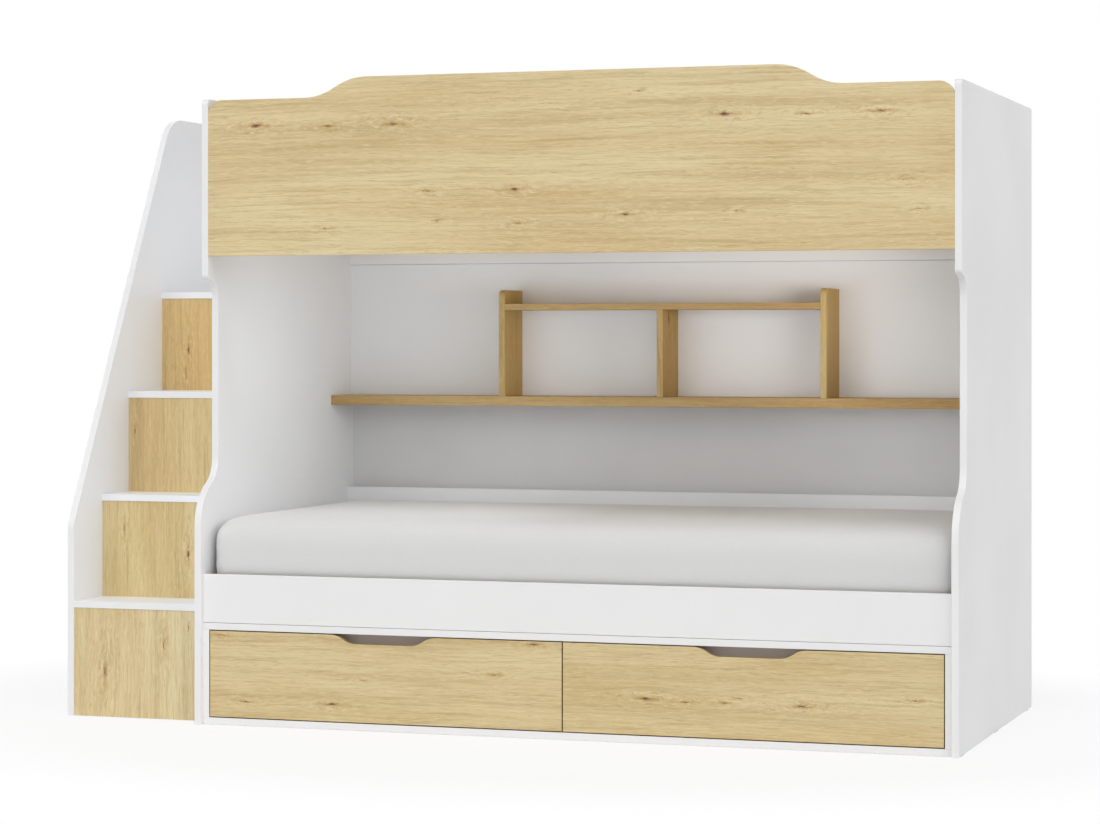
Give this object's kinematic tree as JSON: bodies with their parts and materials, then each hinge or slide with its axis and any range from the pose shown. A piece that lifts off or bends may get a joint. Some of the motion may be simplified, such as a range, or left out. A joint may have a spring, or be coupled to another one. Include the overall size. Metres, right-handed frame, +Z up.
{
  "type": "bunk bed with storage",
  "caption": "Bunk bed in white and oak boards: stairs at one end, curved guard board, shelf unit over the lower bed and drawers on runners below it.",
  "frame": {"origin": "on the floor, under the middle of the bed's bounding box", "axes": "+X along the bed away from the stairs, +Y from the front to the wall, +Z up"},
  "size_m": [2.456, 1.083, 1.713],
  "materials": {
    "white_board": "white satin laminate",
    "oak_board": "oak-grain laminate, matt",
    "hardboard": "lacquered hardboard sheet",
    "raw_wood": "planed softwood",
    "raw_board": "raw particle board",
    "mattress_fabric": "pale grey ticking",
    "runner_steel": "zinc plated",
    "glide_plastic": "moulded"
  },
  "bodies": {
    "frame": {"left_end_panel": "white_board", "right_end_panel": "white_board", "guard_board": "oak_board", "rear_guard_board": "white_board", "upper_back_panel": "white_board", "lower_back_panel": "hardboard", "lower_front_rail": "white_board", "lower_back_rail": "white_board", "upper_slat_bearers": "raw_wood", "upper_slats": "raw_wood", "upper_mattress": "mattress_fabric", "lower_slat_bearers": "raw_wood", "lower_slats": "raw_wood", "lower_mattress": "mattress_fabric", "long_shelf": "oak_board", "shelf_left_upright": "oak_board", "shelf_right_upright": "oak_board", "shelf_divider": "oak_board", "top_shelf": "oak_board", "chest_base": "white_board", "chest_top": "white_board", "chest_left_side": "white_board", "chest_right_side": "white_board", "chest_divider": "white_board", "chest_stretchers": "raw_board", "left_drawer_chest_runners": "runner_steel", "right_drawer_chest_runners": "runner_steel", "stair_tread_1": "white_board", "stair_riser_1": "oak_board", "stair_tread_2": "white_board", "stair_riser_2": "oak_board", "stair_tread_3": "white_board", "stair_riser_3": "oak_board", "stair_tread_4": "white_board", "stair_riser_4": "oak_board", "stair_cleats": "raw_wood", "stair_back_panel": "hardboard", "stair_side_panel": "white_board", "floor_glides": "glide_plastic"},
    "left_drawer": {"left_drawer_front": "oak_board", "left_drawer_left_side": "white_board", "left_drawer_right_side": "white_board", "left_drawer_back": "white_board", "left_drawer_bottom": "hardboard", "left_drawer_box_runners": "runner_steel"},
    "left_runner_middle": {"left_drawer_middle_runners": "runner_steel"},
    "right_drawer": {"right_drawer_front": "oak_board", "right_drawer_left_side": "white_board", "right_drawer_right_side": "white_board", "right_drawer_back": "white_board", "right_drawer_bottom": "hardboard", "right_drawer_box_runners": "runner_steel"},
    "right_runner_middle": {"right_drawer_middle_runners": "runner_steel"}
  },
  "joints": [
    {"name": "left_drawer_slide", "type": "slide", "parent": "frame", "child": "left_drawer", "axis": [0, -1, 0], "range_m": [0, 0.6]},
    {"name": "left_runner_slide", "type": "slide", "parent": "frame", "child": "left_runner_middle", "axis": [0, -1, 0], "range_m": [0, 0.3]},
    {"name": "right_drawer_slide", "type": "slide", "parent": "frame", "child": "right_drawer", "axis": [0, -1, 0], "range_m": [0, 0.6]},
    {"name": "right_runner_slide", "type": "slide", "parent": "frame", "child": "right_runner_middle", "axis": [0, -1, 0], "range_m": [0, 0.3]}
  ],
  "couplings": [
    {"joint": "left_runner_slide", "follows": "left_drawer_slide", "ratio": 0.5},
    {"joint": "right_runner_slide", "follows": "right_drawer_slide", "ratio": 0.5}
  ]
}
